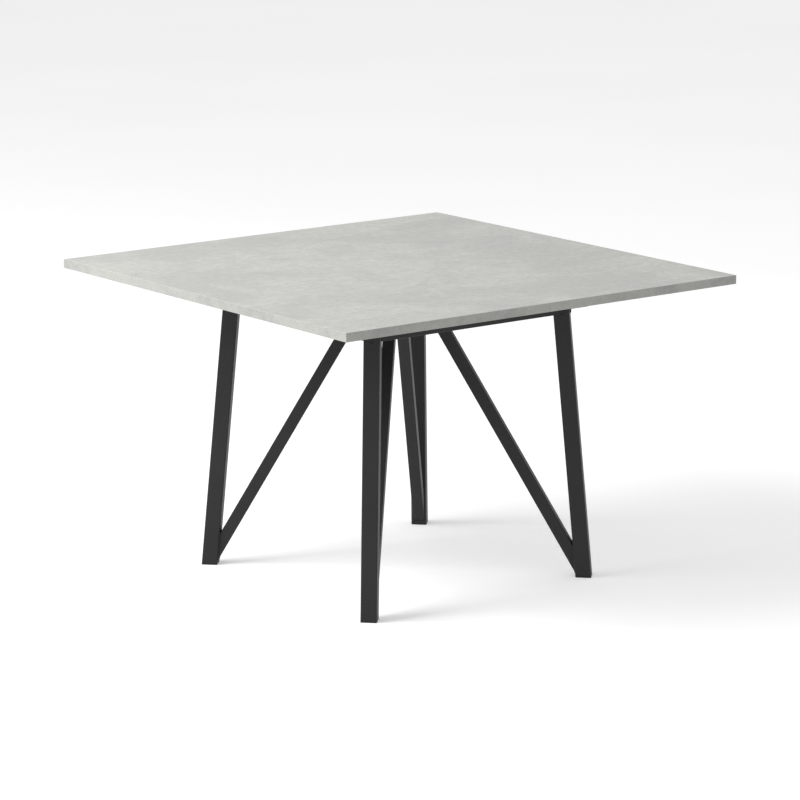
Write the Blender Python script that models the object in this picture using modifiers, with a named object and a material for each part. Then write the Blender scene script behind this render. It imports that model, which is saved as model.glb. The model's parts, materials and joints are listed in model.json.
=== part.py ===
"""Extendable square dining table: V-leg steel base, two sliding top halves on geared slides, folded leaf.

Metres, +Z up. The origin is on the floor under the middle of the closed top. The halves part along X.
"near" is -Y, "far" is +Y, "left" is -X and "right" is +X.
"""
import math

import bmesh
import bpy
from mathutils import Matrix, Vector

GAP = 0.0003                # between pieces that touch
PLAY = 0.0001               # between a pin and the bore that turns on it
OVERSHOOT = 0.010           # how far a cutter runs past the face it cuts
FAR = 1.0                   # reach of a block that cuts away everything beyond a plane

# Top
TOP_SIDE = 1.200
TOP_THICK = 0.022
TABLE_H = 0.782
UNDERSIDE = TABLE_H - TOP_THICK
OPENING = 0.450             # gap between the halves when they are fully apart
DOWEL_R = 0.004
DOWEL_REACH = 0.014
DOWEL_TIP = 0.0015
DOWEL_SPARE = 0.001         # free depth past a dowel's end
DOWEL_Y = (-0.48, -0.16, 0.16, 0.48)

# Ring, spokes and hub under the top
RING_HALF = 0.3115
RING_Z0 = 0.676
RING_Z1 = 0.706
RAIL_WIDE = 0.020
RAIL_CORNER = 0.0025
TUBE_WALL = 0.002
SPOKE_WIDE = 0.030
HUB_SIDE = 0.200
HUB_THICK = 0.005
HUB_CHAMFER = 0.030
SPOKE_START = 0.010

# Legs: each V stands in a vertical plane through a diagonal of the top
OUTER_TUBE = 0.040
INNER_TUBE = 0.030
TUBE_CORNER = 0.003
OUTER_FOOT_R = 0.4797       # distance of the tube's axis from the centre line, at the floor
OUTER_HEAD_R = 0.4074       # the same at the height of the tabletop
INNER_FOOT_R = 0.4820
INNER_HEAD_R = 0.0311
BRACE_BLANK = 1.0           # a brace before it is cut to length
BRACE_BELOW = 0.050         # how far that blank starts below the floor
PLATE_THICK = 0.003
GLIDE_THICK = 0.003
GLIDE_PLUG = 0.025
GLIDE_BLANK = 0.100

# Slides: per side one fixed member between two bars, one bar per top half
SLIDE_Y = 0.351
FIXED_WIDE = 0.024
FIXED_LONG = 0.600
FIXED_HIGH = 0.044
CROSS_X = 0.270
CROSS_WIDE = 0.060
CROSS_LONG = 0.780
CROSS_THICK = 0.005
CROSS_Z0 = RING_Z1 + GAP
CROSS_Z1 = CROSS_Z0 + CROSS_THICK
FIXED_Z0 = CROSS_Z1 + GAP
BAR_WIDE = 0.018
BAR_FLANGE = 0.016
BAR_FLANGE_THICK = 0.003
BAR_LONG = 0.700
BAR_OUT = 0.450             # how far a bar reaches out under its own half
BAR_Z0 = 0.7150
BAR_Z1 = UNDERSIDE - GAP
RUN_GAP = 0.0005            # between a bar and the fixed member
TONGUE_Z = 0.7230
TONGUE_HIGH = 0.006
TONGUE_DEEP = 0.005

# Gearing that makes both halves move together
MODULE = 0.0025
PINION_TEETH = 12
PITCH_R = MODULE * PINION_TEETH / 2
PITCH = math.pi * MODULE
ADDENDUM = 0.0022
DEDENDUM = 0.0029
PRESSURE = math.radians(20)
BACKLASH = 0.0003
RACK_TEETH = 31
RACK_HIGH = 0.0094
RACK_BACK = 0.0225          # from the slide's middle to the back of the rack
RACK_LEAD = 1.5 * PITCH     # plain stretch past the pinion when the top is closed
FLANK_STEPS = 5
ROOT_SPREAD = 0.02          # radians by which a tooth widens below its base circle
PINION_HIGH = 0.0088
GEAR_Z = 0.7400
POCKET_HIGH = 0.010
WINDOW_CLEAR = 0.0015       # round the pinion's tips
PIN_R = 0.004
PIN_DEEP = 0.008            # how far the pin reaches below the pinion's window
PIN_HEAD_R = 0.006
PIN_HEAD_THICK = 0.0015

# Leaf, folded in two and stored on runners
LEAF_LONG = 0.600
LEAF_WIDE = OPENING - 0.0006
RUNNER_THICK = 0.002
RUNNER_WIDE = 0.030
RUNNER_HIGH = 0.012
RUNNER_X = (-0.300, 0.450)  # it reaches out on the right, where the leaf is drawn out
RUNNER_Y = 0.3035
LEAF_Z0 = CROSS_Z1 + GAP + RUNNER_THICK + GAP
LEAF_SPACE = 0.0006
HINGE_X = (-0.14, 0.14)
HINGE_R = 0.003
HINGE_LONG = 0.060
HINGE_PLATE = 0.025
HINGE_THICK = 0.001
HINGE_INSET = 0.001         # of the plates from the knuckle's ends
HINGE_CLEAR = 0.0005        # from the knuckle to the panels' edges

# Latches under the joint of the two halves
LATCH_X = -0.045
LATCH_Y = 0.440
KEEPER_X = 0.030
KEEPER_R = 0.004
HOOK_THICK = 0.003
HOOK_HALF = 0.012
HOOK_END = 0.008            # material past the slot
HOOK_Z = 0.7552
PIVOT_HEAD_R = 0.008
PIVOT_HEAD_THICK = 0.002
KEEPER_HEAD_R = 0.010
KEEPER_TIP_R = 0.003
KEEPER_TIP = (0.0015, 0.0025)   # below the hook: start and end of the keeper's chamfer
CHAMFER = 0.001
SLOT_HALF = 0.0045
SHANK_R = 0.0025
SHANK_LONG = 0.0115

CORNERS = {"near_left": (-1, -1), "near_right": (1, -1), "far_right": (1, 1), "far_left": (-1, 1)}
SIDES = {"near": -1, "far": 1}
HALVES = {"left": -1, "right": 1}
ALONG_X = Matrix(((0, 0, 1, 0), (1, 0, 0, 0), (0, 1, 0, 0), (0, 0, 0, 1)))   # drawn in Y and Z, extruded in X


def clear_scene():
    for obj in list(bpy.data.objects):
        bpy.data.objects.remove(obj)
    for collection in list(bpy.data.collections):
        bpy.data.collections.remove(collection)


def new_collection(name):
    collection = bpy.data.collections.new(name)
    bpy.context.scene.collection.children.link(collection)
    return collection


def material(name, colour, roughness, metallic):
    mat = bpy.data.materials.new(name)
    mat.use_nodes = True
    shader = mat.node_tree.nodes["Principled BSDF"]
    shader.inputs["Base Color"].default_value = (*colour, 1)
    shader.inputs["Roughness"].default_value = roughness
    shader.inputs["Metallic"].default_value = metallic
    mat.diffuse_color = (*colour, 1)
    return mat


def laminate():
    return material("concrete_laminate", (0.52, 0.53, 0.50), 0.52, 0.0)


def black_steel():
    return material("black_powder_coat", (0.022, 0.022, 0.023), 0.55, 0.4)


def aluminium():
    return material("slide_aluminium", (0.62, 0.63, 0.65), 0.35, 1.0)


def zinc_steel():
    return material("zinc_steel", (0.55, 0.55, 0.53), 0.35, 1.0)


def black_plastic():
    return material("black_plastic", (0.015, 0.015, 0.016), 0.5, 0.0)


def gear_plastic():
    return material("white_acetal", (0.78, 0.77, 0.73), 0.4, 0.0)


def beech():
    return material("beech", (0.60, 0.42, 0.26), 0.6, 0.0)


class Kit:
    """The collections that hold the pieces and the cutters."""
    parts = None
    cutters = None


def link(obj, mat):
    obj.data.materials.clear()
    obj.data.materials.append(mat)
    mat.name = obj.name
    Kit.parts.objects.link(obj)
    return obj


def box_mesh(name, low, high):
    """A box between two corners, in its own mesh."""
    low, high = Vector(low), Vector(high)
    size = high - low
    middle = (low + high) / 2
    bm = bmesh.new()
    bmesh.ops.create_cube(bm, size=1.0, matrix=Matrix.Translation(middle) @ Matrix.Diagonal((*size, 1)))
    mesh = bpy.data.meshes.new(name)
    bm.to_mesh(mesh)
    bm.free()
    return mesh


def box(name, low, high, mat):
    return link(bpy.data.objects.new(name, box_mesh(name, low, high)), mat)


def evaluated_mesh(obj):
    """The object's evaluated mesh with its seams welded, in local coordinates."""
    bpy.context.view_layer.update()
    graph = bpy.context.evaluated_depsgraph_get()
    mesh = bpy.data.meshes.new_from_object(obj.evaluated_get(graph))
    bm = bmesh.new()
    bm.from_mesh(mesh)
    bmesh.ops.remove_doubles(bm, verts=bm.verts, dist=0.00001)
    bmesh.ops.dissolve_limit(bm, angle_limit=0.0005, verts=bm.verts, edges=bm.edges)
    bmesh.ops.recalc_face_normals(bm, faces=bm.faces)
    bm.to_mesh(mesh)
    bm.free()
    return mesh


def extruded_mesh(name, outlines, length):
    """Flat outlines, the later ones being holes, extruded along local Z and centred on it."""
    curve = bpy.data.curves.new(name, "CURVE")
    curve.dimensions = "2D"
    curve.fill_mode = "BOTH"
    curve.extrude = length / 2
    for outline in outlines:
        spline = curve.splines.new("POLY")
        spline.points.add(len(outline) - 1)
        for point, (x, y) in zip(spline.points, outline):
            point.co = (x, y, 0, 1)
        spline.use_cyclic_u = True
    guide = bpy.data.objects.new(name + "_outline", curve)
    Kit.cutters.objects.link(guide)
    mesh = evaluated_mesh(guide)
    bpy.data.objects.remove(guide)
    mesh.name = name
    return mesh


def extruded(name, outlines, length, matrix, mat):
    obj = bpy.data.objects.new(name, extruded_mesh(name, outlines, length))
    obj.matrix_world = matrix
    return link(obj, mat)


def turned_mesh(name, profile, segments):
    """A profile of (radius, height) from top to bottom, turned about Z."""
    mesh = bpy.data.meshes.new(name)
    mesh.from_pydata([(r, 0, z) for r, z in profile], [(i, i + 1) for i in range(len(profile) - 1)], [])
    guide = bpy.data.objects.new(name + "_profile", mesh)
    Kit.cutters.objects.link(guide)
    screw = guide.modifiers.new("turn", "SCREW")
    screw.steps = segments
    screw.render_steps = segments
    screw.use_merge_vertices = True
    screw.merge_threshold = 0.00001
    result = evaluated_mesh(guide)
    bpy.data.objects.remove(guide)
    result.name = name
    return result


def turned(name, profile, segments, matrix, mat):
    obj = bpy.data.objects.new(name, turned_mesh(name, profile, segments))
    obj.matrix_world = matrix
    return link(obj, mat)


def copies_mesh(name, base, matrices):
    """Copies of one mesh at each matrix, as separate solids in one mesh."""
    bm = bmesh.new()
    for matrix in matrices:
        start = len(bm.verts)
        bm.from_mesh(base)
        bm.verts.ensure_lookup_table()
        bmesh.ops.transform(bm, matrix=matrix, verts=bm.verts[start:])
    mesh = bpy.data.meshes.new(name)
    bm.to_mesh(mesh)
    bm.free()
    return mesh


def cut(obj, cutter_mesh, matrix=None):
    """Subtract a mesh, given in world coordinates or placed by a matrix, with a Boolean modifier."""
    cutter = bpy.data.objects.new(f"{obj.name}_cutter_{len(obj.modifiers)}", cutter_mesh)
    cutter.matrix_world = matrix or Matrix.Identity(4)
    cutter.display_type = "WIRE"
    cutter.hide_render = True
    Kit.cutters.objects.link(cutter)
    modifier = obj.modifiers.new("cut", "BOOLEAN")
    modifier.operation = "DIFFERENCE"
    modifier.solver = "EXACT"
    modifier.object = cutter
    return cutter


def rounded_rectangle(wide, deep, radius, steps=5):
    points = []
    for quarter, (sx, sy) in enumerate(((1, 1), (-1, 1), (-1, -1), (1, -1))):
        start = quarter * math.pi / 2
        for x, y in arc(radius, start, start + math.pi / 2, steps):
            points.append((sx * (wide / 2 - radius) + x, sy * (deep / 2 - radius) + y))
    return points


def rectangle(wide, deep):
    return [(wide / 2, deep / 2), (-wide / 2, deep / 2), (-wide / 2, -deep / 2), (wide / 2, -deep / 2)]


def arc(radius, start, end, steps):
    angles = [start + (end - start) * k / steps for k in range(steps + 1)]
    return [(radius * math.cos(angle), radius * math.sin(angle)) for angle in angles]


def circle(radius, steps=32):
    return arc(radius, 0, 2 * math.pi, steps)[:-1]


def tube_outlines(wide, deep, corner=TUBE_CORNER):
    return [rounded_rectangle(wide, deep, corner), rectangle(wide - 2 * TUBE_WALL, deep - 2 * TUBE_WALL)]


def drill(points, radius, z_low, z_high, name="drill", segments=16):
    """One mesh of upright drill bits at the given (x, y) points."""
    bit = turned_mesh(name, [(0, z_high), (radius, z_high), (radius, z_low), (0, z_low)], segments)
    return copies_mesh(name, bit, [Matrix.Translation((x, y, 0)) for x, y in points])


# ---- tabletop ---------------------------------------------------------------------------------------


def latch_point(half, side):
    return (LATCH_X if half == "left" else KEEPER_X, side * LATCH_Y)


def make_top_panel(half):
    sign = HALVES[half]
    x0, x1 = sorted((sign * GAP / 2, sign * TOP_SIDE / 2))
    panel = box(f"top_panel_{half}", (x0, -TOP_SIDE / 2, UNDERSIDE), (x1, TOP_SIDE / 2, TABLE_H), laminate())
    holes = [latch_point(half, side) for side in SIDES.values()]
    cut(panel, drill(holes, SHANK_R + GAP, UNDERSIDE - OVERSHOOT, UNDERSIDE + SHANK_LONG + GAP))
    radius = DOWEL_R + GAP
    deep = DOWEL_REACH + DOWEL_SPARE
    bit = turned_mesh("dowel_drill", [(0, deep), (radius, deep), (radius, -OVERSHOOT), (0, -OVERSHOOT)], 16)
    middle = (UNDERSIDE + TABLE_H) / 2
    turn = Matrix.Rotation(sign * math.pi / 2, 4, "Y")
    cut(panel, copies_mesh("dowel_drills", bit, [Matrix.Translation((0, y, middle)) @ turn for y in DOWEL_Y]))


def make_dowels():
    """Beech dowels glued in the left half; they enter holes in the right half as the top closes."""
    middle = (UNDERSIDE + TABLE_H) / 2
    tip_r = DOWEL_R - DOWEL_TIP
    straight = DOWEL_REACH - DOWEL_TIP
    profile = [(0, DOWEL_REACH), (tip_r, DOWEL_REACH), (DOWEL_R, straight),
               (DOWEL_R, -straight), (tip_r, -DOWEL_REACH), (0, -DOWEL_REACH)]
    for index, y in enumerate(DOWEL_Y):
        place = Matrix.Translation((0, y, middle)) @ Matrix.Rotation(math.pi / 2, 4, "Y")
        turned(f"seam_dowel_{index + 1}", profile, 16, place, beech())


# ---- welded base ------------------------------------------------------------------------------------

def make_ring_rail(name, angle):
    """One side of the ring: a tube mitred at both ends, drawn on the near side and turned into place."""
    middle = RING_HALF - RAIL_WIDE / 2
    outlines = tube_outlines(RAIL_WIDE, RING_Z1 - RING_Z0, RAIL_CORNER)
    turn = Matrix.Rotation(angle, 4, "Z")
    place = turn @ Matrix.Translation((0, -middle, (RING_Z0 + RING_Z1) / 2)) @ ALONG_X
    rail = extruded(name, outlines, 2 * RING_HALF, place, black_steel())
    reach = 5 * RAIL_WIDE
    wedge = box_mesh("mitre", (0, -reach, RING_Z0 - reach), (reach, reach, RING_Z1 + reach))
    inset = GAP / math.sqrt(2)
    for sign in (-1, 1):
        mitre = Matrix.Rotation(math.radians(45 if sign > 0 else 135), 4, "Z")
        cut(rail, wedge, turn @ Matrix.Translation((sign * (middle - inset), -middle, 0)) @ mitre)


def make_spoke(name, sx, sy):
    """A tube from the hub to the ring's corner, under the slides and over the hub plate."""
    low = RING_Z0 + HUB_THICK + GAP
    outlines = tube_outlines(SPOKE_WIDE, RING_Z1 - low, RAIL_CORNER)
    angle = math.atan2(sy, sx)
    start = SPOKE_START + SPOKE_WIDE / 2
    inside = RING_HALF - RAIL_WIDE - GAP
    long = inside * math.sqrt(2) + RAIL_WIDE - start
    place = Matrix.Rotation(angle, 4, "Z") @ Matrix.Translation((start + long / 2, 0, (low + RING_Z1) / 2))
    spoke = extruded(name, outlines, long, place @ ALONG_X, black_steel())
    for axis, sign in enumerate((sx, sy)):
        low_corner = [-FAR, -FAR, 0.0]
        high_corner = [FAR, FAR, FAR]
        low_corner[axis], high_corner[axis] = sorted((sign * inside, sign * FAR))
        cut(spoke, box_mesh("ring_inside", low_corner, high_corner))


def make_hub_plate():
    half = HUB_SIDE / 2
    inner = half - HUB_CHAMFER
    outline = [(half, inner), (inner, half), (-inner, half), (-half, inner),
               (-half, -inner), (-inner, -half), (inner, -half), (half, -inner)]
    place = Matrix.Translation((0, 0, RING_Z0 + HUB_THICK / 2))
    extruded("hub_plate", [outline], HUB_THICK, place, black_steel())


def leg_matrix(sx, sy, foot_r, head_r):
    """Local Z runs up the tube's axis, local Y is level, local X faces away from the centre line."""
    outward = Vector((sx, sy, 0)).normalized()
    foot = outward * foot_r
    head = outward * head_r + Vector((0, 0, TABLE_H))
    up = (head - foot).normalized()
    level = Vector((0, 0, 1)).cross(outward)
    away = level.cross(up)
    matrix = Matrix((away, level, up)).transposed().to_4x4()
    matrix.translation = foot
    return matrix


def slab_cutter(z_low, z_high):
    return box_mesh("level_cut", (-FAR, -FAR, z_low), (FAR, FAR, z_high))


def make_outer_tube(name, sx, sy):
    """The thick tube of a leg: it carries the ring's corner in a notch and runs up outside it."""
    matrix = leg_matrix(sx, sy, OUTER_FOOT_R, OUTER_HEAD_R)
    outlines = tube_outlines(OUTER_TUBE, OUTER_TUBE)
    middle = Matrix.Translation((0, 0, (TABLE_H - OUTER_TUBE) / 2))
    tube = extruded(name, outlines, TABLE_H, matrix @ middle, black_steel())
    cut(tube, slab_cutter(-FAR, GLIDE_THICK + GAP))
    cut(tube, slab_cutter(RING_Z1 - GAP, FAR))
    notch = RING_HALF + GAP
    cut(tube, box_mesh("ring_notch", (-notch, -notch, RING_Z0 - GAP), (notch, notch, FAR)))


def make_inner_tube(name, sx, sy):
    """The brace: it is coped against the outer tube near the floor and meets the hub plate."""
    matrix = leg_matrix(sx, sy, INNER_FOOT_R, INNER_HEAD_R)
    outlines = tube_outlines(INNER_TUBE, INNER_TUBE, RAIL_CORNER)
    middle = Matrix.Translation((0, 0, BRACE_BLANK / 2 - BRACE_BELOW))
    tube = extruded(name, outlines, BRACE_BLANK, matrix @ middle, black_steel())
    cut(tube, slab_cutter(RING_Z0 - GAP, FAR))
    cope = box_mesh("cope", (-OUTER_TUBE / 2 - GAP, -FAR, -FAR), (FAR, FAR, FAR))
    cut(tube, cope, leg_matrix(sx, sy, OUTER_FOOT_R, OUTER_HEAD_R))


def make_corner_plate(name, sx, sy):
    """The plate welded inside the outer tube's head, which the ring's corner rests on."""
    high = RING_Z0 - GAP
    lean = (OUTER_FOOT_R - OUTER_HEAD_R) / TABLE_H
    middle = high - PLATE_THICK / 2
    wide = OUTER_TUBE - 2 * TUBE_WALL - 2 * GAP
    deep = wide - lean * PLATE_THICK
    turn = Matrix.Rotation(math.atan2(sy, sx), 4, "Z")
    place = turn @ Matrix.Translation((OUTER_FOOT_R - lean * middle, 0, middle))
    extruded(name, [rectangle(deep, wide)], PLATE_THICK, place, black_steel())


def make_glide(name, sx, sy):
    """A plastic foot: a sole plate with a plug that follows the tube's lean."""
    matrix = leg_matrix(sx, sy, OUTER_FOOT_R, OUTER_HEAD_R)
    sole = rounded_rectangle(OUTER_TUBE, OUTER_TUBE, TUBE_CORNER)
    glide = extruded(name, [sole], GLIDE_BLANK, matrix, black_plastic())
    cut(glide, slab_cutter(-FAR, 0.0))
    cut(glide, slab_cutter(GLIDE_THICK, FAR))
    inside = OUTER_TUBE - 2 * TUBE_WALL - 2 * GAP
    plug = extruded_mesh("glide_plug", [rectangle(inside, inside)], GLIDE_BLANK)
    bm = bmesh.new()
    bm.from_mesh(plug)
    bm.transform(matrix)
    for height, above in ((GLIDE_THICK / 2, False), (GLIDE_PLUG, True)):
        geometry = bm.verts[:] + bm.edges[:] + bm.faces[:]
        bmesh.ops.bisect_plane(bm, geom=geometry, plane_co=(0, 0, height), plane_no=(0, 0, 1),
                               clear_outer=above, clear_inner=not above)
        bmesh.ops.holes_fill(bm, edges=[e for e in bm.edges if e.is_boundary])
    bmesh.ops.recalc_face_normals(bm, faces=bm.faces)
    bm.to_mesh(plug)
    bm.free()
    join = cut(glide, plug)
    join.name = f"{name}_plug"
    glide.modifiers[-1].operation = "UNION"


# ---- slides and gearing -----------------------------------------------------------------------------

def make_cross_plate(half):
    x = HALVES[half] * CROSS_X
    box(f"cross_plate_{half}", (x - CROSS_WIDE / 2, -CROSS_LONG / 2, CROSS_Z0),
        (x + CROSS_WIDE / 2, CROSS_LONG / 2, CROSS_Z1), black_steel())


def make_fixed_member(name, side):
    """An extrusion with a groove in each flank, a window for the pinion and a hole for its pin."""
    half = FIXED_WIDE / 2
    member = box(name, (-FIXED_LONG / 2, side * SLIDE_Y - half, FIXED_Z0),
                 (FIXED_LONG / 2, side * SLIDE_Y + half, FIXED_Z0 + FIXED_HIGH), aluminium())
    floor = half - TONGUE_DEEP
    lip = TONGUE_HIGH / 2 + RUN_GAP
    for flank in (-1, 1):
        y0, y1 = sorted((side * SLIDE_Y + flank * floor, side * SLIDE_Y + flank * 2 * half))
        cut(member, box_mesh("groove", (-FIXED_LONG, y0, TONGUE_Z - lip), (FIXED_LONG, y1, TONGUE_Z + lip)))
    reach = PITCH_R + ADDENDUM + WINDOW_CLEAR
    window_z = GEAR_Z - POCKET_HIGH / 2
    window = box_mesh("window", (-reach, -FIXED_WIDE, window_z), (reach, FIXED_WIDE, window_z + POCKET_HIGH))
    cut(member, window, Matrix.Translation((0, side * SLIDE_Y, 0)))
    cut(member, drill([(0, side * SLIDE_Y)], PIN_R + GAP, window_z - PIN_DEEP - GAP, TABLE_H, segments=32))


def make_bar(name, half, side):
    """A bar that carries one half: a tongue for the groove, a pocket for the rack and a screw flange."""
    toward = -1 if half == "left" else 1
    face = FIXED_WIDE / 2 + RUN_GAP
    back = face + BAR_WIDE
    lip = back + BAR_FLANGE
    pocket = RACK_BACK + 2 * GAP
    tongue = face - TONGUE_DEEP
    heights = (TONGUE_Z - TONGUE_HIGH / 2, TONGUE_Z + TONGUE_HIGH / 2)
    pockets = (GEAR_Z - POCKET_HIGH / 2, GEAR_Z + POCKET_HIGH / 2)
    outline = [(face, BAR_Z0), (face, heights[0]), (tongue, heights[0]), (tongue, heights[1]),
               (face, heights[1]), (face, pockets[0]), (pocket, pockets[0]), (pocket, pockets[1]),
               (face, pockets[1]), (face, BAR_Z1), (lip, BAR_Z1), (lip, BAR_Z1 - BAR_FLANGE_THICK),
               (back, BAR_Z1 - BAR_FLANGE_THICK), (back, BAR_Z0)]
    outline = [(side * toward * y, z) for y, z in outline]
    centre_x = HALVES[half] * (BAR_OUT - BAR_LONG / 2)
    place = Matrix.Translation((centre_x, side * SLIDE_Y, 0)) @ ALONG_X
    extruded(name, [outline], BAR_LONG, place, aluminium())


def rack_outline(direction):
    """Teeth along X with a gap at x = 0, from just past the pinion to the end of the travel."""
    slope = math.tan(PRESSURE)
    half_tooth = PITCH / 4 - BACKLASH / 4
    tip = half_tooth - ADDENDUM * slope
    root = half_tooth + DEDENDUM * slope
    tip_y = PITCH_R - ADDENDUM
    root_y = PITCH_R + DEDENDUM
    points = [(-RACK_LEAD, RACK_BACK), (-RACK_LEAD, root_y)]
    for tooth in range(RACK_TEETH):
        x = (tooth - 0.5) * PITCH
        points += [(x - root, root_y), (x - tip, tip_y), (x + tip, tip_y), (x + root, root_y)]
    end = RACK_TEETH * PITCH
    points += [(end, root_y), (end, RACK_BACK)]
    return [(direction * x, y) for x, y in points]


def make_rack(name, half, side):
    toward = -1 if half == "left" else 1
    outline = [(x, side * toward * y) for x, y in rack_outline(-HALVES[half])]
    place = Matrix.Translation((0, side * SLIDE_Y, GEAR_Z))
    extruded(name, [outline], RACK_HIGH, place, gear_plastic())


def pinion_outline():
    """Involute teeth, the first one centred on +Y."""
    base_r = PITCH_R * math.cos(PRESSURE)
    root_r = PITCH_R - DEDENDUM
    tip_r = PITCH_R + ADDENDUM
    involute = math.tan(PRESSURE) - PRESSURE
    half_at_pitch = math.pi / (2 * PINION_TEETH) - BACKLASH / (2 * PITCH_R)

    def half_angle(radius):
        roll = math.acos(min(1.0, base_r / radius))
        return half_at_pitch + involute - (math.tan(roll) - roll)

    radii = [base_r + (tip_r - base_r) * k / FLANK_STEPS for k in range(FLANK_STEPS + 1)]
    flank = [(root_r, half_angle(base_r) - ROOT_SPREAD)] + [(r, half_angle(r)) for r in radii]
    points = []
    for tooth in range(PINION_TEETH):
        middle = math.pi / 2 + tooth * 2 * math.pi / PINION_TEETH
        tooth_side = [(r, middle - a) for r, a in flank] + [(r, middle + a) for r, a in reversed(flank)]
        points += [(r * math.cos(a), r * math.sin(a)) for r, a in tooth_side]
    return points


def make_pinion(name, side):
    outlines = [pinion_outline(), circle(PIN_R + PLAY)]
    extruded(name, outlines, PINION_HIGH, Matrix.Translation((0, side * SLIDE_Y, GEAR_Z)), gear_plastic())


def make_pin(name, side):
    neck = FIXED_Z0 + FIXED_HIGH + GAP
    top = neck + PIN_HEAD_THICK
    low = GEAR_Z - POCKET_HIGH / 2 - PIN_DEEP
    profile = [(0, top), (PIN_HEAD_R, top), (PIN_HEAD_R, neck), (PIN_R, neck), (PIN_R, low), (0, low)]
    turned(name, profile, 32, Matrix.Translation((0, side * SLIDE_Y, 0)), zinc_steel())


# ---- leaf -------------------------------------------------------------------------------------------

def hinge_recess(z):
    """Recesses for the hinge plates, cut in the faces that meet when the leaf is folded."""
    boxes = bmesh.new()
    for x in HINGE_X:
        low = Vector((x - HINGE_LONG / 2 - GAP, LEAF_LONG / 2 - HINGE_PLATE - GAP, z - HINGE_THICK - GAP))
        high = Vector((x + HINGE_LONG / 2 + GAP, LEAF_LONG / 2 + OVERSHOOT, z + HINGE_THICK + GAP))
        place = Matrix.Translation((low + high) / 2) @ Matrix.Diagonal((*(high - low), 1))
        bmesh.ops.create_cube(boxes, size=1.0, matrix=place)
    mesh = bpy.data.meshes.new("hinge_recess")
    boxes.to_mesh(mesh)
    boxes.free()
    return mesh


def make_leaf():
    fold_z = LEAF_Z0 + TOP_THICK + LEAF_SPACE / 2
    for name, low in (("leaf_panel_lower", LEAF_Z0), ("leaf_panel_upper", LEAF_Z0 + TOP_THICK + LEAF_SPACE)):
        panel = box(name, (-LEAF_WIDE / 2, -LEAF_LONG / 2, low),
                    (LEAF_WIDE / 2, LEAF_LONG / 2, low + TOP_THICK), laminate())
        cut(panel, hinge_recess(fold_z))
    for index, x in enumerate(HINGE_X):
        make_leaf_hinge(f"leaf_hinge_{index + 1}", x, fold_z)


def make_leaf_hinge(name, x, fold_z):
    """A folded butt hinge: a knuckle outside the edge and its plates lying closed between the panels."""
    y = LEAF_LONG / 2 + HINGE_R + HINGE_CLEAR
    end = HINGE_LONG / 2
    place = Matrix.Translation((x, y, fold_z)) @ Matrix.Rotation(math.pi / 2, 4, "Y")
    hinge = turned(name, [(0, end), (HINGE_R, end), (HINGE_R, -end), (0, -end)], 16, place, zinc_steel())
    inner = end - HINGE_INSET
    plate = box_mesh("hinge_plate", (x - inner, LEAF_LONG / 2 - HINGE_PLATE, fold_z - HINGE_THICK),
                     (x + inner, y, fold_z + HINGE_THICK))
    cut(hinge, plate)
    hinge.modifiers[-1].operation = "UNION"


def make_runner(name, side):
    """An angle that the folded leaf rests on and that guides its long side."""
    outline = [(RUNNER_Y, 0), (RUNNER_Y, RUNNER_HIGH), (RUNNER_Y - RUNNER_THICK, RUNNER_HIGH),
               (RUNNER_Y - RUNNER_THICK, RUNNER_THICK), (RUNNER_Y - RUNNER_WIDE, RUNNER_THICK),
               (RUNNER_Y - RUNNER_WIDE, 0)]
    outline = [(side * y, z) for y, z in outline]
    start, end = RUNNER_X
    place = Matrix.Translation(((start + end) / 2, 0, CROSS_Z1 + GAP)) @ ALONG_X
    extruded(name, [outline], end - start, place, black_steel())


# ---- latches ----------------------------------------------------------------------------------------

def hook_outline():
    """A hook along +X, its slot an arc about the pivot, open towards -Y, closed just past +X."""
    reach = KEEPER_X - LATCH_X
    inner, outer, end = reach - SLOT_HALF, reach + SLOT_HALF, reach + SLOT_HALF + HOOK_END
    closed = SLOT_HALF / reach
    lower_inner = -math.asin(HOOK_HALF / inner)
    lower_outer = -math.asin(HOOK_HALF / outer)
    tip = math.asin(HOOK_HALF / end)
    points = arc(HOOK_HALF, math.pi / 2, 3 * math.pi / 2, 12)
    points += arc(inner, lower_inner, closed, 4)
    points += arc(outer, closed, lower_outer, 4)
    points += arc(end, -tip, tip, 6)
    return points


def shouldered(head_r, head_low, lower):
    """A turned piece: a shank in the panel, a head under it and, below the head, the given points."""
    top = UNDERSIDE + SHANK_LONG
    under = UNDERSIDE - GAP
    return [(0, top), (SHANK_R, top), (SHANK_R, under), (head_r, under), (head_r, head_low)] + lower


def make_latch(label, side):
    """A hook that turns on a riveted pivot and catches the keeper on the other half."""
    x, y = LATCH_X, side * LATCH_Y
    outlines = [[(px, side * py) for px, py in hook_outline()], circle(KEEPER_R + PLAY)]
    place = Matrix.Translation((x, y, HOOK_Z)) @ Matrix.Rotation(side * math.pi / 2, 4, "Z")
    extruded(f"latch_hook_{label}", outlines, HOOK_THICK, place, black_steel())
    low = HOOK_Z - HOOK_THICK / 2 - GAP
    high = HOOK_Z + HOOK_THICK / 2 + GAP
    foot = low - PIVOT_HEAD_THICK
    rim_r = PIVOT_HEAD_R - CHAMFER
    rivet = [(KEEPER_R, high), (KEEPER_R, low), (PIVOT_HEAD_R, low), (rim_r, foot), (0, foot)]
    place = Matrix.Translation((x, y, 0))
    turned(f"latch_pivot_{label}", shouldered(PIVOT_HEAD_R, high, rivet), 32, place, zinc_steel())
    neck, tip = (low - drop for drop in KEEPER_TIP)
    post = [(KEEPER_R, high + GAP), (KEEPER_R, neck), (KEEPER_TIP_R, tip), (0, tip)]
    place = Matrix.Translation((KEEPER_X, y, 0))
    turned(f"latch_keeper_{label}", shouldered(KEEPER_HEAD_R, high + GAP, post), 32, place, zinc_steel())


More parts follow.
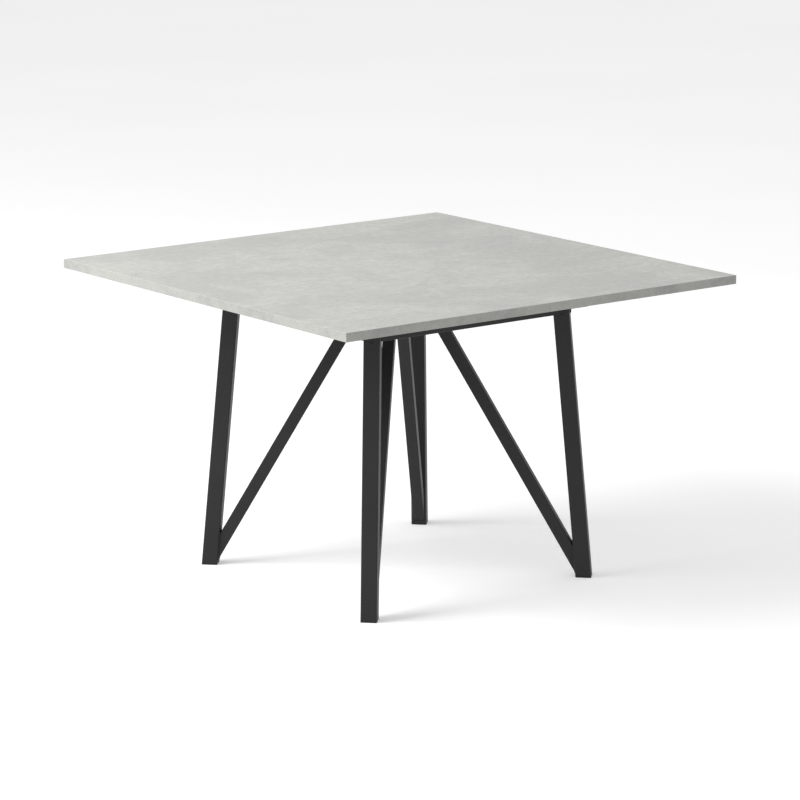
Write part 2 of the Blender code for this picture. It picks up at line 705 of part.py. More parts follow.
def build_base():
    for index, name in enumerate(("near", "right", "far", "left")):
        make_ring_rail(f"ring_rail_{name}", index * math.pi / 2)
    make_hub_plate()
    for corner, (sx, sy) in CORNERS.items():
        make_spoke(f"spoke_{corner}", sx, sy)
        make_corner_plate(f"corner_plate_{corner}", sx, sy)
        make_outer_tube(f"leg_outer_{corner}", sx, sy)
        make_inner_tube(f"leg_inner_{corner}", sx, sy)
        make_glide(f"foot_glide_{corner}", sx, sy)


def build_slides():
    for half in HALVES:
        make_cross_plate(half)
    for label, side in SIDES.items():
        make_fixed_member(f"slide_fixed_{label}", side)
        make_pinion(f"pinion_{label}", side)
        make_pin(f"pinion_pin_{label}", side)
        for half in HALVES:
            make_bar(f"slide_bar_{half}_{label}", half, side)
            make_rack(f"rack_{half}_{label}", half, side)


def build_top():
    for half in HALVES:
        make_top_panel(half)
    make_dowels()
    for label, side in SIDES.items():
        make_latch(label, side)


def build_leaf():
    make_leaf()
    for label, side in SIDES.items():
        make_runner(f"leaf_runner_{label}", side)


clear_scene()
Kit.parts = new_collection("extendable_dining_table")
Kit.cutters = new_collection("cutters")
build_base()
build_slides()
build_top()
build_leaf()
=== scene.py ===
"""Looks of the extendable dining table: laminate, coated tube, welds, fixings, slides and a soft studio."""
import json
import math

import bmesh
import bpy
from mathutils import Matrix, Vector


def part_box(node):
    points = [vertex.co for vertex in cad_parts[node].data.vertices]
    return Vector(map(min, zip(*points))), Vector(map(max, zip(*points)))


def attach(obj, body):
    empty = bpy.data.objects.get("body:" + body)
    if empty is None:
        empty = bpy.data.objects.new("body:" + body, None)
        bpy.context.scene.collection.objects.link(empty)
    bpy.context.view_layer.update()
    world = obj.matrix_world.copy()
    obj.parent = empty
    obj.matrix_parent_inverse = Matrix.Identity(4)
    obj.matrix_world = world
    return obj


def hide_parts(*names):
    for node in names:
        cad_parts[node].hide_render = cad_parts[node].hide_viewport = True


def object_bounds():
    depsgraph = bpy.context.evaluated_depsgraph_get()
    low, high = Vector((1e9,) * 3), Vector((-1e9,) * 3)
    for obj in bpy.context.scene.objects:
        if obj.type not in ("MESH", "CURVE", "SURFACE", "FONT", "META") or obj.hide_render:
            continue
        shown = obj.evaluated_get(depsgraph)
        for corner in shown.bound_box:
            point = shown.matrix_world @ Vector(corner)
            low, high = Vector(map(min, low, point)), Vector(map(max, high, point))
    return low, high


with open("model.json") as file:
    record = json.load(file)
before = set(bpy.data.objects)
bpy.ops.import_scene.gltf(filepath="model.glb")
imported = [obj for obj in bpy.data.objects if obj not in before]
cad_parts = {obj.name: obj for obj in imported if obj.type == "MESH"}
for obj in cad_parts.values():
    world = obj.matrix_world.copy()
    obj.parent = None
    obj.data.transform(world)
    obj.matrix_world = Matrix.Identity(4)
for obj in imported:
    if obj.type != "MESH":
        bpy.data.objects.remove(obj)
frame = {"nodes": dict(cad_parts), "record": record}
CAD_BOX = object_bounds()
NODES = frame["nodes"]
TOP_Z = CAD_BOX[1][2]
CORNERS = {"near_left": (-1, -1), "near_right": (1, -1), "far_right": (1, 1), "far_left": (-1, 1)}
SIDES = {"near": -1, "far": 1}
HALVES = {"left": -1, "right": 1}
SAME_POINT = 0.00001
SAME_PLANE = 0.3
FACES_UP = 0.7

# Boards: rounded edges, finer ones at the joint, dowel holes and the leaf's dowels
ARRIS = 0.0006
SEAM_ARRIS = 0.00008
DOWELS = 4
DOWEL_HOLE_R = 0.0043
DOWEL_HOLE_SPARE = 0.002
LEAF_DOWEL_R = 0.0040
LEAF_DOWEL_TIP = 0.0015
DOWEL_OUT = 0.0140
LEAF_DOWELS = (3, 4)

# Broken edges of coated steel, and of the smaller bare pieces
COAT_EDGE = 0.0004
BARE_EDGE = 0.0002
EDGE_ANGLE = 40.0

# Welds: rippled beads, ones ground flush, and how far a weld's edge may be from its plane
BEAD_R = 0.0014
BEAD_STEP = 0.0016
BEAD_RIPPLE = 0.10
FLUSH_R = 0.0008
FLUSH_INSET = 0.0005
ON_PLANE = 0.00005
COPE_NEAR = 0.0008
COPE_TOP = 0.15

# Fixings: screws through the bars' flanges, and hexagon bolts with a washer
FLANGE = 0.016
FLANGE_THICK = 0.003
SCREW_X = (0.07, 0.24, 0.40)
PAN_R = 0.0040
PAN_HIGH = 0.0024
PAN_SIDE = 0.35
PAN_STEPS = 8
RECESS_WIDE = 0.0008
RECESS_LONG = 0.0044
RECESS_DEEP = 0.0013
RECESS_SPARE = 0.001
WASHER_R = 0.0064
WASHER_HOLE_R = 0.0032
WASHER_THICK = 0.0012
WASHER_EDGE = (0.0004, 0.0002)
HEX_R = 0.0058
HEX_TIP_R = 0.0050
HEX_HIGH = 0.0040
TURN_STEP = 0.9
CAP_THICK = 0.0015
FINE_EDGE = 0.0003
SHARP = 35.0
CAP_SHARP = 25.0

# Camera: a long lens, looking over the near left corner
LENS_MM = 159.4
CAMERA_PLACE = (-5.293, -6.931, TOP_Z + 1.580)
CAMERA_YAW = 37.436
CAMERA_PITCH = 12.419
SENSOR_MM = 36.0
VIEW_FAR = 200.0

# Floor and light
FLOOR_REACH = 60.0
FLOOR_SQUARES = 8
WHITE = (1.0, 1.0, 1.0, 1.0)
SKY = 0.60
FLOOR_GLOW = 0.32
KEY_WATTS = 320.0
KEY_PLACE = (-4.4, 1.9, 4.0)
KEY_SIDE = 3.4


class Graph:
    """A material's nodes, with one short call per kind of node."""

    def __init__(self, name, roughness, metallic=0.0, specular=0.5):
        self.material = bpy.data.materials.new(name)
        self.material.use_nodes = True
        self.tree = self.material.node_tree
        self.shader = self.tree.nodes["Principled BSDF"]
        self.shader.inputs["Roughness"].default_value = roughness
        self.shader.inputs["Metallic"].default_value = metallic
        self.shader.inputs["Specular IOR Level"].default_value = specular
        self.place = self.tree.nodes.new("ShaderNodeTexCoord").outputs["Object"]

    def link(self, value, socket):
        """Puts a number or colour on a socket, or joins another node's output to it."""
        if isinstance(value, (int, float)):
            socket.default_value = value
        elif isinstance(value, tuple):
            socket.default_value = (*value, 1.0) if len(socket.default_value) == 4 else value
        else:
            self.tree.links.new(value, socket)

    def stretched(self, scale, angle=0.0):
        """The piece's coordinates, scaled and turned about Z by an angle in degrees."""
        node = self.tree.nodes.new("ShaderNodeMapping")
        node.inputs["Scale"].default_value = scale
        node.inputs["Rotation"].default_value = (0, 0, math.radians(angle))
        self.link(self.place, node.inputs["Vector"])
        return node.outputs["Vector"]

    def noise(self, scale, detail=3.0, rough=0.55, distortion=0.0, vector=None):
        node = self.tree.nodes.new("ShaderNodeTexNoise")
        self.link(vector or self.place, node.inputs["Vector"])
        node.inputs["Scale"].default_value = scale
        node.inputs["Detail"].default_value = detail
        node.inputs["Roughness"].default_value = rough
        node.inputs["Distortion"].default_value = distortion
        return node.outputs["Fac"]

    def cells(self, scale):
        """The distance to the nearest of many scattered points."""
        node = self.tree.nodes.new("ShaderNodeTexVoronoi")
        self.link(self.place, node.inputs["Vector"])
        node.inputs["Scale"].default_value = scale
        return node.outputs["Distance"]

    def spread(self, value, low, high, out_low=0.0, out_high=1.0):
        """A smooth step: low and below gives out_low, high and above gives out_high."""
        node = self.tree.nodes.new("ShaderNodeMapRange")
        node.interpolation_type = "SMOOTHSTEP"
        for socket, number in zip(node.inputs, (value, low, high, out_low, out_high)):
            self.link(number, socket)
        return node.outputs["Result"]

    def mix(self, fac, a, b):
        node = self.tree.nodes.new("ShaderNodeMix")
        node.data_type = "RGBA"
        self.link(fac, node.inputs[0])
        self.link(a, node.inputs[6])
        self.link(b, node.inputs[7])
        return node.outputs[2]

    def math(self, operation, a, b):
        node = self.tree.nodes.new("ShaderNodeMath")
        node.operation = operation
        self.link(a, node.inputs[0])
        self.link(b, node.inputs[1])
        return node.outputs[0]

    def bump(self, height, distance, strength):
        """Fine relief, of a real depth in metres."""
        node = self.tree.nodes.new("ShaderNodeBump")
        node.inputs["Strength"].default_value = strength
        node.inputs["Distance"].default_value = distance
        self.link(height, node.inputs["Height"])
        self.link(node.outputs["Normal"], self.shader.inputs["Normal"])

    def finish(self, colour, roughness=None):
        """Joins up the colour and the roughness, and returns the material."""
        self.link(colour, self.shader.inputs["Base Color"])
        if roughness is not None:
            self.link(roughness, self.shader.inputs["Roughness"])
        return self.material


def concrete_laminate():
    """Matt printed laminate: wide clouds, mottling, grit, faint trowel streaks, pores and fine speckle."""
    g = Graph("concrete_laminate", 0.52, specular=0.35)
    clouds = g.spread(g.noise(4.2, 5.0, 0.58, 0.7), 0.40, 0.60)
    mottle = g.spread(g.noise(17.0, 5.0, 0.62, 0.5), 0.38, 0.64)
    grit = g.spread(g.noise(80.0, 4.0, 0.72), 0.42, 0.62)
    drag = g.spread(g.noise(9.0, 5.0, 0.62, 1.2, g.stretched((1.0, 4.5, 1.0), 28.0)), 0.42, 0.66)
    speckle = g.noise(480.0, 3.0, 0.75)
    pores = g.spread(g.cells(150.0), 0.10, 0.22)
    tone = g.mix(clouds, (0.523, 0.533, 0.506), (0.635, 0.639, 0.592))
    tone = g.mix(g.math("MULTIPLY", mottle, 0.50), tone, (0.562, 0.565, 0.525))
    tone = g.mix(g.math("MULTIPLY", drag, 0.45), tone, (0.475, 0.485, 0.468))
    tone = g.mix(g.math("MULTIPLY", grit, 0.42), tone, (0.435, 0.439, 0.417))
    tone = g.mix(g.spread(speckle, 0.30, 0.70, 0.0, 0.30), tone, (0.440, 0.442, 0.424))
    pits = g.math("SUBTRACT", 1.0, pores)
    tone = g.mix(g.math("MULTIPLY", pits, 0.16), tone, (0.378, 0.378, 0.367))
    relief = g.math("ADD", g.math("MULTIPLY", speckle, 0.5), g.math("MULTIPLY", mottle, 0.5))
    g.bump(relief, 0.00006, 0.5)
    return g.finish(tone, g.spread(g.noise(40.0, 3.0), 0.3, 0.7, 0.46, 0.58))


def edge_band():
    """The plastic band glued round the boards: darker than the laminate, with mottling and a finer grain."""
    g = Graph("concrete_edge_band", 0.48, specular=0.35)
    clouds = g.spread(g.noise(4.6, 4.0, 0.55, 0.4), 0.40, 0.60)
    mottle = g.spread(g.noise(30.0, 5.0, 0.66, 0.4), 0.40, 0.62)
    grain = g.noise(210.0, 4.0, 0.75)
    tone = g.mix(clouds, (0.412, 0.418, 0.399), (0.508, 0.511, 0.476))
    tone = g.mix(g.math("MULTIPLY", mottle, 0.60), tone, (0.556, 0.559, 0.522))
    tone = g.mix(g.spread(grain, 0.34, 0.66, 0.0, 0.55), tone, (0.362, 0.364, 0.344))
    g.bump(grain, 0.00006, 0.5)
    return g.finish(tone, g.spread(grain, 0.3, 0.7, 0.44, 0.54))


def backing_sheet():
    """The plain balancing sheet under the boards."""
    g = Graph("backing_sheet", 0.6, specular=0.3)
    weave = g.noise(240.0, 3.0, 0.6)
    clouds = g.spread(g.noise(6.0, 3.0), 0.35, 0.65)
    tone = g.mix(clouds, (0.40, 0.405, 0.395), (0.44, 0.442, 0.428))
    tone = g.mix(g.spread(weave, 0.3, 0.7, 0.0, 0.2), tone, (0.36, 0.36, 0.35))
    g.bump(weave, 0.00008, 0.6)
    return g.finish(tone, g.spread(weave, 0.3, 0.7, 0.55, 0.68))


def powder_coat():
    """Matt black powder coat with its fine orange peel and lighter specks."""
    g = Graph("black_powder_coat", 0.5, specular=0.34)
    peel = g.noise(900.0, 2.0, 0.5)
    grit = g.noise(3200.0, 2.0, 0.6)
    cloud = g.spread(g.noise(9.0, 3.0), 0.35, 0.65)
    tone = g.mix(cloud, (0.0170, 0.0170, 0.0172), (0.0200, 0.0200, 0.0201))
    tone = g.mix(g.spread(grit, 0.52, 0.75, 0.0, 0.35), tone, (0.027, 0.027, 0.027))
    relief = g.math("ADD", g.math("MULTIPLY", peel, 0.7), g.math("MULTIPLY", grit, 0.3))
    g.bump(relief, 0.00010, 0.6)
    return g.finish(tone, g.spread(peel, 0.3, 0.7, 0.44, 0.58))


def drawn_aluminium():
    """Satin extrusion with fine lines drawn along it and a little grey dirt."""
    g = Graph("slide_aluminium", 0.36, 1.0)
    lines = g.noise(60.0, 4.0, 0.7, 0.0, g.stretched((0.4, 40.0, 40.0)))
    dirt = g.spread(g.noise(30.0, 4.0), 0.45, 0.75)
    tone = g.mix(g.spread(lines, 0.3, 0.7), (0.56, 0.57, 0.59), (0.70, 0.71, 0.73))
    tone = g.mix(g.math("MULTIPLY", dirt, 0.25), tone, (0.42, 0.42, 0.43))
    g.bump(lines, 0.00004, 0.6)
    return g.finish(tone, g.spread(lines, 0.3, 0.7, 0.28, 0.44))


def zinc_steel():
    """Zinc plate with its grey, slightly yellow bloom."""
    g = Graph("zinc_steel", 0.34, 1.0)
    bloom = g.spread(g.noise(260.0, 3.0, 0.6, 0.5), 0.35, 0.70)
    fine = g.noise(1800.0, 2.0)
    tone = g.mix(bloom, (0.58, 0.58, 0.57), (0.66, 0.63, 0.54))
    g.bump(fine, 0.00004, 0.5)
    return g.finish(tone, g.spread(fine, 0.3, 0.7, 0.27, 0.42))


def acetal():
    """Moulded white gear plastic with flow marks and greasy patches."""
    g = Graph("white_acetal", 0.42, specular=0.5)
    flow = g.noise(120.0, 3.0, 0.5, 0.6)
    grease = g.spread(g.noise(70.0, 3.0), 0.52, 0.72)
    tone = g.mix(g.spread(flow, 0.35, 0.65), (0.74, 0.73, 0.69), (0.80, 0.79, 0.76))
    tone = g.mix(g.math("MULTIPLY", grease, 0.35), tone, (0.52, 0.49, 0.42))
    g.bump(flow, 0.00006, 0.4)
    return g.finish(tone, g.spread(grease, 0.0, 1.0, 0.46, 0.30))


def black_plastic():
    """Grained black plastic of the foot glides and end caps, with lighter scuffs."""
    g = Graph("black_plastic", 0.55, specular=0.4)
    grain = g.noise(1400.0, 2.0, 0.6)
    scuff = g.spread(g.noise(160.0, 4.0, 0.65), 0.55, 0.80)
    tone = g.mix(g.math("MULTIPLY", scuff, 0.5), (0.014, 0.014, 0.015), (0.050, 0.049, 0.047))
    g.bump(grain, 0.00008, 0.6)
    return g.finish(tone, g.spread(grain, 0.3, 0.7, 0.48, 0.62))


def beech():
    """Beech dowel with its short dark flecks along the grain."""
    g = Graph("beech", 0.6, specular=0.3)
    grain = g.noise(120.0, 4.0, 0.6, 0.3, g.stretched((0.12, 1.0, 1.0)))
    fleck = g.spread(g.noise(700.0, 2.0, 0.5, 0.0, g.stretched((0.15, 1.0, 1.0))), 0.60, 0.72)
    tone = g.mix(g.spread(grain, 0.3, 0.7), (0.52, 0.34, 0.19), (0.68, 0.49, 0.31))
    tone = g.mix(g.math("MULTIPLY", fleck, 0.6), tone, (0.30, 0.17, 0.09))
    g.bump(grain, 0.00008, 0.6)
    return g.finish(tone, g.spread(grain, 0.3, 0.7, 0.55, 0.68))


def studio_floor():
    """Pale floor that glows a little, so that the shadows on it stay pale."""
    g = Graph("studio_floor", 0.9, specular=0.1)
    soft = g.noise(0.7, 2.0)
    g.shader.inputs["Emission Color"].default_value = WHITE
    g.shader.inputs["Emission Strength"].default_value = FLOOR_GLOW
    return g.finish(g.mix(g.spread(soft, 0.3, 0.7), (0.88, 0.88, 0.88), (0.90, 0.90, 0.90)))


MATERIALS = {
    "concrete_laminate": concrete_laminate(),
    "black_powder_coat": powder_coat(),
    "slide_aluminium": drawn_aluminium(),
    "zinc_steel": zinc_steel(),
    "white_acetal": acetal(),
    "black_plastic": black_plastic(),
    "beech": beech(),
}
BAND = edge_band()
BACKING = backing_sheet()
RECORD = frame["record"]
SLOT_OF = {part["node"]: part["material_slot"] for part in RECORD["subparts"]}
BODY_OF = {node: body for body, nodes in RECORD["behaviour"]["bodies"].items() for node in nodes}


def add_piece(name, mesh, node, slot=None, replaces=False):
    """A piece that rides with a node's body and takes its finish from a slot, by default the node's own."""
    piece = bpy.data.objects.new(name, mesh)
    bpy.context.scene.collection.objects.link(piece)
    slot = slot or SLOT_OF[node]
    if not mesh.materials:
        mesh.materials.append(MATERIALS[slot])
    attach(piece, BODY_OF[node])
    if replaces:
        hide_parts(node)
    return piece


def finished_copy(node, bevel, segments):
    """The node's own shape with its sharp edges broken and its curved faces smooth, in its place."""
    mesh = NODES[node].data.copy()
    mesh.materials.clear()
    bm = bmesh.new()
    bm.from_mesh(mesh)
    bmesh.ops.remove_doubles(bm, verts=bm.verts, dist=SAME_POINT)
    bmesh.ops.dissolve_limit(bm, angle_limit=math.radians(SAME_PLANE), verts=bm.verts, edges=bm.edges)
    bm.to_mesh(mesh)
    bm.free()
    mesh.shade_smooth()
    piece = add_piece(f"{node}_finish", mesh, node, replaces=True)
    edge = piece.modifiers.new("edge", "BEVEL")
    edge.width = bevel
    edge.segments = segments
    edge.limit_method = "ANGLE"
    edge.angle_limit = math.radians(EDGE_ANGLE)
    edge.harden_normals = False
    normals = piece.modifiers.new("normals", "WEIGHTED_NORMAL")
    normals.keep_sharp = True


def block(bm, low, high):
    """A box between two corners, added to a bmesh."""
    low, high = Vector(low), Vector(high)
    place = Matrix.Translation((low + high) / 2) @ Matrix.Diagonal((*(high - low), 1.0))
    bmesh.ops.create_cube(bm, size=1.0, matrix=place)


def seam_edges(bm, reach):
    """The edges along the joint in the top, which is at x = 0."""
    return [edge for edge in bm.edges if all(abs(vert.co.x) < reach for vert in edge.verts)]


def board_mesh(name, low, high, faces):
    """A board with fine rounded edges. Its face (up if faces is 1), band and backing have a slot each."""
    bm = bmesh.new()
    block(bm, low, high)
    seam = seam_edges(bm, ARRIS)
    outside = [edge for edge in bm.edges if edge not in seam]
    bmesh.ops.bevel(bm, geom=outside, offset=ARRIS, offset_type="OFFSET", segments=3, profile=0.5,
                    affect="EDGES")
    bmesh.ops.bevel(bm, geom=seam_edges(bm, ARRIS / 2), offset=SEAM_ARRIS, offset_type="OFFSET",
                    segments=1, affect="EDGES")
    for face in bm.faces:
        flat = abs(face.normal.z) > FACES_UP
        face.material_index = 1 if not flat else (0 if face.normal.z * faces > 0 else 2)
        face.smooth = False
    mesh = bpy.data.meshes.new(name)
    bm.to_mesh(mesh)
    bm.free()
    for material in (MATERIALS["concrete_laminate"], BAND, BACKING):
        mesh.materials.append(material)
    return mesh


def finish_boards():
    """Boards: laminate on the face, band round the edge, backing on the other side."""
    for node in ("top_panel_left", "top_panel_right"):
        piece = add_piece(f"{node}_board", board_mesh(node, *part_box(node), 1), node, replaces=True)
        drill_dowels(piece)
    for node, outside in (("leaf_panel_lower", -1), ("leaf_panel_upper", 1)):
        add_piece(f"{node}_board", board_mesh(node, *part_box(node), outside), node, replaces=True)


def drill_dowels(piece):
    """Holes for the dowels in the edge that closes the joint."""
    bm = bmesh.new()
    for index in range(DOWELS):
        a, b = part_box(f"seam_dowel_{index + 1}")
        middle = (Vector(a) + Vector(b)) / 2
        turn = Matrix.Translation(middle) @ Matrix.Rotation(math.pi / 2, 4, "Y")
        bmesh.ops.create_cone(bm, segments=32, radius1=DOWEL_HOLE_R, radius2=DOWEL_HOLE_R, cap_ends=True,
                              depth=(b[0] - a[0]) + DOWEL_HOLE_SPARE, matrix=turn)
    mesh = bpy.data.meshes.new("dowel_holes")
    bm.to_mesh(mesh)
    bm.free()
    cutter = bpy.data.objects.new("dowel_holes", mesh)
    bpy.context.scene.collection.objects.link(cutter)
    hole = piece.modifiers.new("dowel_holes", "BOOLEAN")
    hole.operation = "DIFFERENCE"
    hole.solver = "EXACT"
    hole.object = cutter
    bpy.context.view_layer.update()
    cut = bpy.data.meshes.new_from_object(piece.evaluated_get(bpy.context.evaluated_depsgraph_get()))
    piece.modifiers.clear()
    piece.data = cut
    bpy.data.objects.remove(cutter)


def finish_others():
    """Everything but the boards keeps its own shape, with its edges broken."""
    for node, slot in SLOT_OF.items():
        if slot == "black_powder_coat":
            finished_copy(node, COAT_EDGE, 2)
        elif slot != "concrete_laminate":
            finished_copy(node, BARE_EDGE, 1)


def hull_loop(points, normal):
    """The outline of coplanar points, as a closed ring in order."""
    normal = Vector(normal).normalized()
    across = normal.orthogonal().normalized()
    up = normal.cross(across)
    flat = sorted({(round(p.dot(across), 6), round(p.dot(up), 6)): p for p in points}.items())

    def half(items):
        chain = []
        for (x, y), point in items:
            while len(chain) > 1:
                (x0, y0), (x1, y1) = chain[-2][0], chain[-1][0]
                if (x1 - x0) * (y - y0) - (y1 - y0) * (x - x0) > 0:
                    break
                chain.pop()
            chain.append(((x, y), point))
        return chain[:-1]

    return [point for _, point in half(flat) + half(flat[::-1])]


def flush_weld(name, loop, node):
    """A weld ground flush, which fills the groove between two welded pieces."""
    centre = sum(loop, Vector()) / len(loop)
    inset = [point + (centre - point).normalized() * FLUSH_INSET for point in loop]
    weld_bead(name, inset, node, FLUSH_R, 0.0)


def weld_bead(name, loop, node, radius=BEAD_R, ripple=BEAD_RIPPLE):
    """A bead of weld along a closed loop, rippled unless told otherwise, under the powder coat."""
    steps = []
    for start, end in zip(loop, loop[1:] + loop[:1]):
        count = max(1, round((end - start).length / BEAD_STEP))
        steps += [start.lerp(end, k / count) for k in range(count)]
    curve = bpy.data.curves.new(name, "CURVE")
    curve.dimensions = "3D"
    curve.bevel_depth = radius
    curve.bevel_resolution = 2
    spline = curve.splines.new("POLY")
    spline.points.add(len(steps) - 1)
    for index, (point, place) in enumerate(zip(spline.points, steps)):
        point.co = (*place, 1.0)
        point.radius = 1.0 + ripple * (-1) ** index
    spline.use_cyclic_u = True
    guide = bpy.data.objects.new(name, curve)
    bpy.context.scene.collection.objects.link(guide)
    bpy.context.view_layer.update()
    mesh = bpy.data.meshes.new_from_object(guide.evaluated_get(bpy.context.evaluated_depsgraph_get()))
    bpy.data.objects.remove(guide)
    mesh.name = name
    mesh.materials.clear()
    mesh.shade_smooth()
    add_piece(name, mesh, node)


def near_plane(node, point, normal, reach=ON_PLANE):
    """The node's vertices on a plane, or within reach of it."""
    places = [vert.co.copy() for vert in NODES[node].data.vertices]
    return [place for place in places if abs((place - point).dot(normal)) < reach]


def level_outline(node, height):
    """The node's outline at one height."""
    up = Vector((0, 0, 1))
    return hull_loop(near_plane(node, Vector((0, 0, height)), up), up)


def make_welds():
    """Beads where a brace meets the hub plate and its tube's foot, and flush welds in the ring's mitres."""
    for corner, (sx, sy) in CORNERS.items():
        tube, brace = f"leg_outer_{corner}", f"leg_inner_{corner}"
        foot = level_outline(tube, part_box(tube)[0][2])
        head = level_outline(tube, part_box(tube)[1][2])
        weld_bead(f"weld_hub_{corner}", level_outline(brace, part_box(brace)[1][2]), brace)
        outward = Vector((sx, sy, 0)).normalized()
        inner_foot = min(foot, key=lambda p: p.dot(outward))
        outer_foot = max(foot, key=lambda p: p.dot(outward))
        outer_head = max(head, key=lambda p: p.dot(outward))
        level = Vector((0, 0, 1)).cross(outward)
        up = outer_head - outer_foot
        up = (up - level * up.dot(level)).normalized()
        face = level.cross(up)
        touching = near_plane(brace, inner_foot, face, COPE_NEAR)
        cope = [point for point in touching if point.z < COPE_TOP]
        weld_bead(f"weld_foot_{corner}", hull_loop(cope, face), brace)
        rail = "ring_rail_near" if sy < 0 else "ring_rail_far"
        cut = near_plane(rail, Vector(), level, COPE_NEAR)
        mitre = [point for point in cut if point.x * sx > 0]
        flush_weld(f"weld_mitre_{corner}", hull_loop(mitre, level), rail)


def lathe(profile, segments=32):
    """A closed solid of revolution about Z from (radius, height) points."""
    bm = bmesh.new()
    verts = [bm.verts.new((r, 0, z)) for r, z in profile]
    edges = [bm.edges.new(pair) for pair in zip(verts, verts[1:])]
    bmesh.ops.spin(bm, geom=verts + edges, cent=(0, 0, 0), axis=(0, 0, 1), angle=2 * math.pi,
                   steps=segments, use_merge=True)
    bmesh.ops.remove_doubles(bm, verts=bm.verts, dist=SAME_POINT)
    bmesh.ops.recalc_face_normals(bm, faces=bm.faces)
    return bm


def to_mesh(bm, name, sharp=SHARP):
    """The bmesh as a smooth mesh that keeps its sharper edges."""
    mesh = bpy.data.meshes.new(name)
    bm.to_mesh(mesh)
    bm.free()
    mesh.shade_smooth()
    mesh.set_sharp_from_angle(angle=math.radians(sharp))
    return mesh


def cut_mesh(mesh, cutter):
    """A mesh less another one."""
    base = bpy.data.objects.new("base", mesh)
    tool = bpy.data.objects.new("tool", cutter)
    for obj in (base, tool):
        bpy.context.scene.collection.objects.link(obj)
    hole = base.modifiers.new("hole", "BOOLEAN")
    hole.operation = "DIFFERENCE"
    hole.object = tool
    bpy.context.view_layer.update()
    result = bpy.data.meshes.new_from_object(base.evaluated_get(bpy.context.evaluated_depsgraph_get()))
    bpy.data.objects.remove(base)
    bpy.data.objects.remove(tool)
    return result


def pan_head_mesh():
    """A pan head hanging from z = 0, with its cross recess."""
    dome = [(0, 0), (PAN_R, 0)]
    for index in range(PAN_STEPS):
        angle = index * math.pi / (2 * PAN_STEPS)
        fall = PAN_SIDE + (1 - PAN_SIDE) * math.sin(angle)
        dome.append((PAN_R * math.cos(angle), -PAN_HIGH * fall))
    dome.append((0, -PAN_HIGH))
    head = to_mesh(lathe(dome), "pan_head")
    for wide, long in ((RECESS_WIDE, RECESS_LONG), (RECESS_LONG, RECESS_WIDE)):
        slot = bmesh.new()
        low = (-wide / 2, -long / 2, -PAN_HIGH - RECESS_SPARE)
        high = (wide / 2, long / 2, -PAN_HIGH + RECESS_DEEP)
        block(slot, low, high)
        recess = bpy.data.meshes.new("recess")
        slot.to_mesh(recess)
        slot.free()
        head = cut_mesh(head, recess)
    return head


def hex_head_mesh():
    """A hexagon head on its washer, hanging from z = 0."""
    draw, drop = WASHER_EDGE
    bm = lathe([(WASHER_HOLE_R, 0), (WASHER_R, 0), (WASHER_R, drop - WASHER_THICK),
                (WASHER_R - draw, -WASHER_THICK), (WASHER_HOLE_R, -WASHER_THICK), (WASHER_HOLE_R, 0)])
    start = len(bm.verts)
    place = Matrix.Translation((0, 0, -WASHER_THICK - HEX_HIGH / 2))
    bmesh.ops.create_cone(bm, segments=6, radius1=HEX_TIP_R, radius2=HEX_R, depth=HEX_HIGH, cap_ends=True,
                          matrix=place)
    bm.verts.ensure_lookup_table()
    rim = {edge for vert in bm.verts[start:] for edge in vert.link_edges}
    bmesh.ops.bevel(bm, geom=list(rim), offset=FINE_EDGE, segments=2, affect="EDGES")
    return to_mesh(bm, "hex_head", CAP_SHARP)


def place_heads(name, mesh, spots, nodes, z):
    """A head at each spot under its node, each turned a little further than the last."""
    for index, ((x, y), node) in enumerate(zip(spots, nodes)):
        turned = mesh.copy()
        turned.transform(Matrix.Translation((x, y, z)) @ Matrix.Rotation(index * TURN_STEP, 4, "Z"))
        add_piece(f"{name}_{index + 1}", turned, node, "zinc_steel")


def make_screws():
    """Screws up through the bars' flanges into the panels."""
    head = pan_head_mesh()
    for half, sign in HALVES.items():
        spots, nodes = [], []
        for label, side in SIDES.items():
            node = f"slide_bar_{half}_{label}"
            low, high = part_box(node)
            lip = low[1] if (half == "left") == (side > 0) else high[1]
            inward = 1 if lip == low[1] else -1
            for x in SCREW_X:
                spots.append((sign * x, lip + inward * FLANGE / 2))
                nodes.append(node)
        place_heads(f"panel_screw_{half}", head, spots, nodes, high[2] - FLANGE_THICK)


def make_bolts():
    """Bolts up through the cross plates into the fixed slide members."""
    spots, nodes = [], []
    for half in HALVES:
        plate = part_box(f"cross_plate_{half}")
        for label in SIDES:
            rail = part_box(f"slide_fixed_{label}")
            spots.append(((plate[0][0] + plate[1][0]) / 2, (rail[0][1] + rail[1][1]) / 2))
            nodes.append(f"cross_plate_{half}")
    place_heads("slide_bolt", hex_head_mesh(), spots, nodes, plate[0][2])


def end_cap_mesh(node, end, out):
    """A thin cap with the outline of the node's face at x = end, grown out along X."""
    bm = bmesh.new()
    bm.from_mesh(NODES[node].data)
    away = [f for f in bm.faces if any(abs(v.co.x - end) > SAME_POINT for v in f.verts)]
    bmesh.ops.delete(bm, geom=away, context="FACES")
    bmesh.ops.dissolve_limit(bm, angle_limit=math.radians(SAME_PLANE), verts=bm.verts, edges=bm.edges)
    grown = bmesh.ops.extrude_face_region(bm, geom=bm.faces[:] + bm.edges[:])
    moved = [g for g in grown["geom"] if isinstance(g, bmesh.types.BMVert)]
    bmesh.ops.translate(bm, verts=moved, vec=(out, 0, 0))
    bmesh.ops.recalc_face_normals(bm, faces=bm.faces)
    bmesh.ops.bevel(bm, geom=bm.edges[:], offset=FINE_EDGE, segments=1, affect="EDGES")
    return to_mesh(bm, "bar_cap", CAP_SHARP)


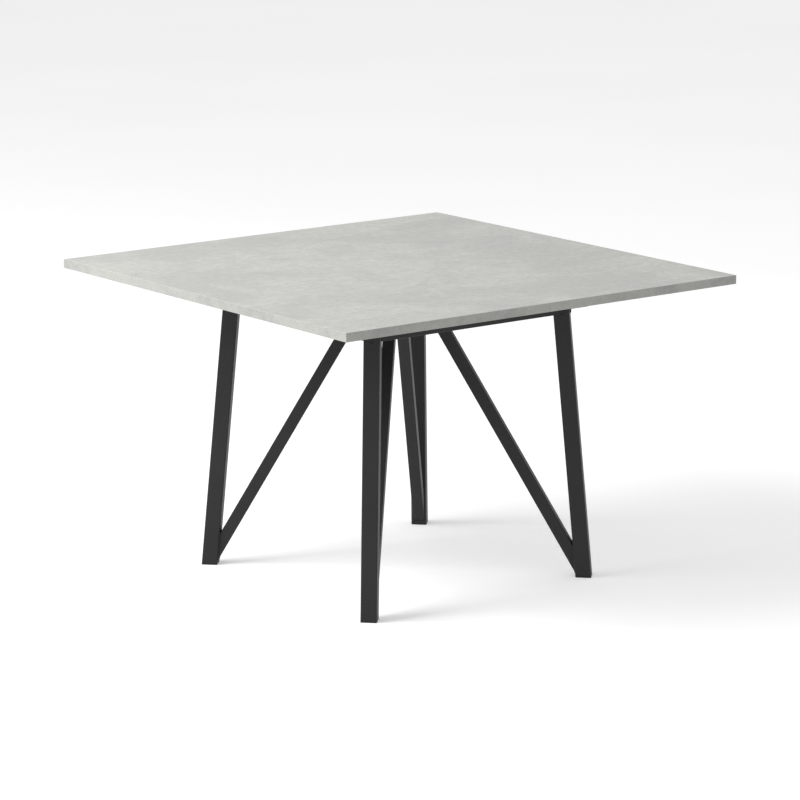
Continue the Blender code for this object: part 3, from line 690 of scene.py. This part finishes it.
def make_end_caps():
    """Thin plastic caps on both ends of each bar."""
    for half in HALVES:
        for label in SIDES:
            node = f"slide_bar_{half}_{label}"
            low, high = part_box(node)
            for index, (end, out) in enumerate(((low[0], -CAP_THICK), (high[0], CAP_THICK))):
                cap = end_cap_mesh(node, end, out)
                add_piece(f"bar_cap_{half}_{label}_{index + 1}", cap, node, "black_plastic")


def make_leaf_dowels():
    """Dowels in the leaf's right edge, where they enter the right half once the leaf is laid in."""
    r, tip = LEAF_DOWEL_R, LEAF_DOWEL_TIP
    profile = [(0, 0), (r, 0), (r, DOWEL_OUT - tip), (r - tip, DOWEL_OUT), (0, DOWEL_OUT)]
    base = to_mesh(lathe(profile, 24), "leaf_dowel")
    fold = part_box("leaf_panel_lower")[1][1]
    spots = [fold - abs(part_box(f"seam_dowel_{index}")[0][1] + LEAF_DOWEL_R) for index in LEAF_DOWELS]
    for node in ("leaf_panel_lower", "leaf_panel_upper"):
        low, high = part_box(node)
        for index, y in enumerate(spots):
            mesh = base.copy()
            place = Matrix.Translation((high[0], y, (low[2] + high[2]) / 2))
            mesh.transform(place @ Matrix.Rotation(math.pi / 2, 4, "Y"))
            add_piece(f"{node}_dowel_{index + 1}", mesh, node, "beech")


def make_floor():
    """The plain floor, which doesn't light the table from below."""
    bm = bmesh.new()
    bmesh.ops.create_grid(bm, x_segments=FLOOR_SQUARES, y_segments=FLOOR_SQUARES, size=FLOOR_REACH)
    mesh = bpy.data.meshes.new("studio_floor")
    bm.to_mesh(mesh)
    bm.free()
    mesh.materials.append(studio_floor())
    floor = bpy.data.objects.new("studio_floor", mesh)
    floor.location.z = CAD_BOX[0][2]
    floor.visible_diffuse = False
    bpy.context.scene.collection.objects.link(floor)


def make_light():
    """An even white sky and one large soft lamp."""
    world = bpy.data.worlds.new("studio")
    world.use_nodes = True
    background = world.node_tree.nodes["Background"]
    background.inputs["Color"].default_value = WHITE
    background.inputs["Strength"].default_value = SKY
    bpy.context.scene.world = world
    data = bpy.data.lights.new("key", "AREA")
    data.energy = KEY_WATTS
    data.size = KEY_SIDE
    key = bpy.data.objects.new("key", data)
    key.location = KEY_PLACE
    aim = Vector((0, 0, TOP_Z)) - key.location
    key.rotation_mode = "QUATERNION"
    key.rotation_quaternion = aim.to_track_quat("-Z", "Y")
    bpy.context.scene.collection.objects.link(key)


def make_camera():
    data = bpy.data.cameras.new("camera")
    data.lens = LENS_MM
    data.sensor_width = SENSOR_MM
    data.clip_end = VIEW_FAR
    camera = bpy.data.objects.new("camera", data)
    camera.location = CAMERA_PLACE
    camera.rotation_euler = (math.radians(90 - CAMERA_PITCH), 0, math.radians(-CAMERA_YAW))
    bpy.context.scene.collection.objects.link(camera)
    bpy.context.scene.camera = camera


make_camera()
make_light()
make_floor()
finish_boards()
finish_others()
make_welds()
make_screws()
make_bolts()
make_end_caps()
make_leaf_dowels()
bpy.context.scene.view_settings.view_transform = "Standard"
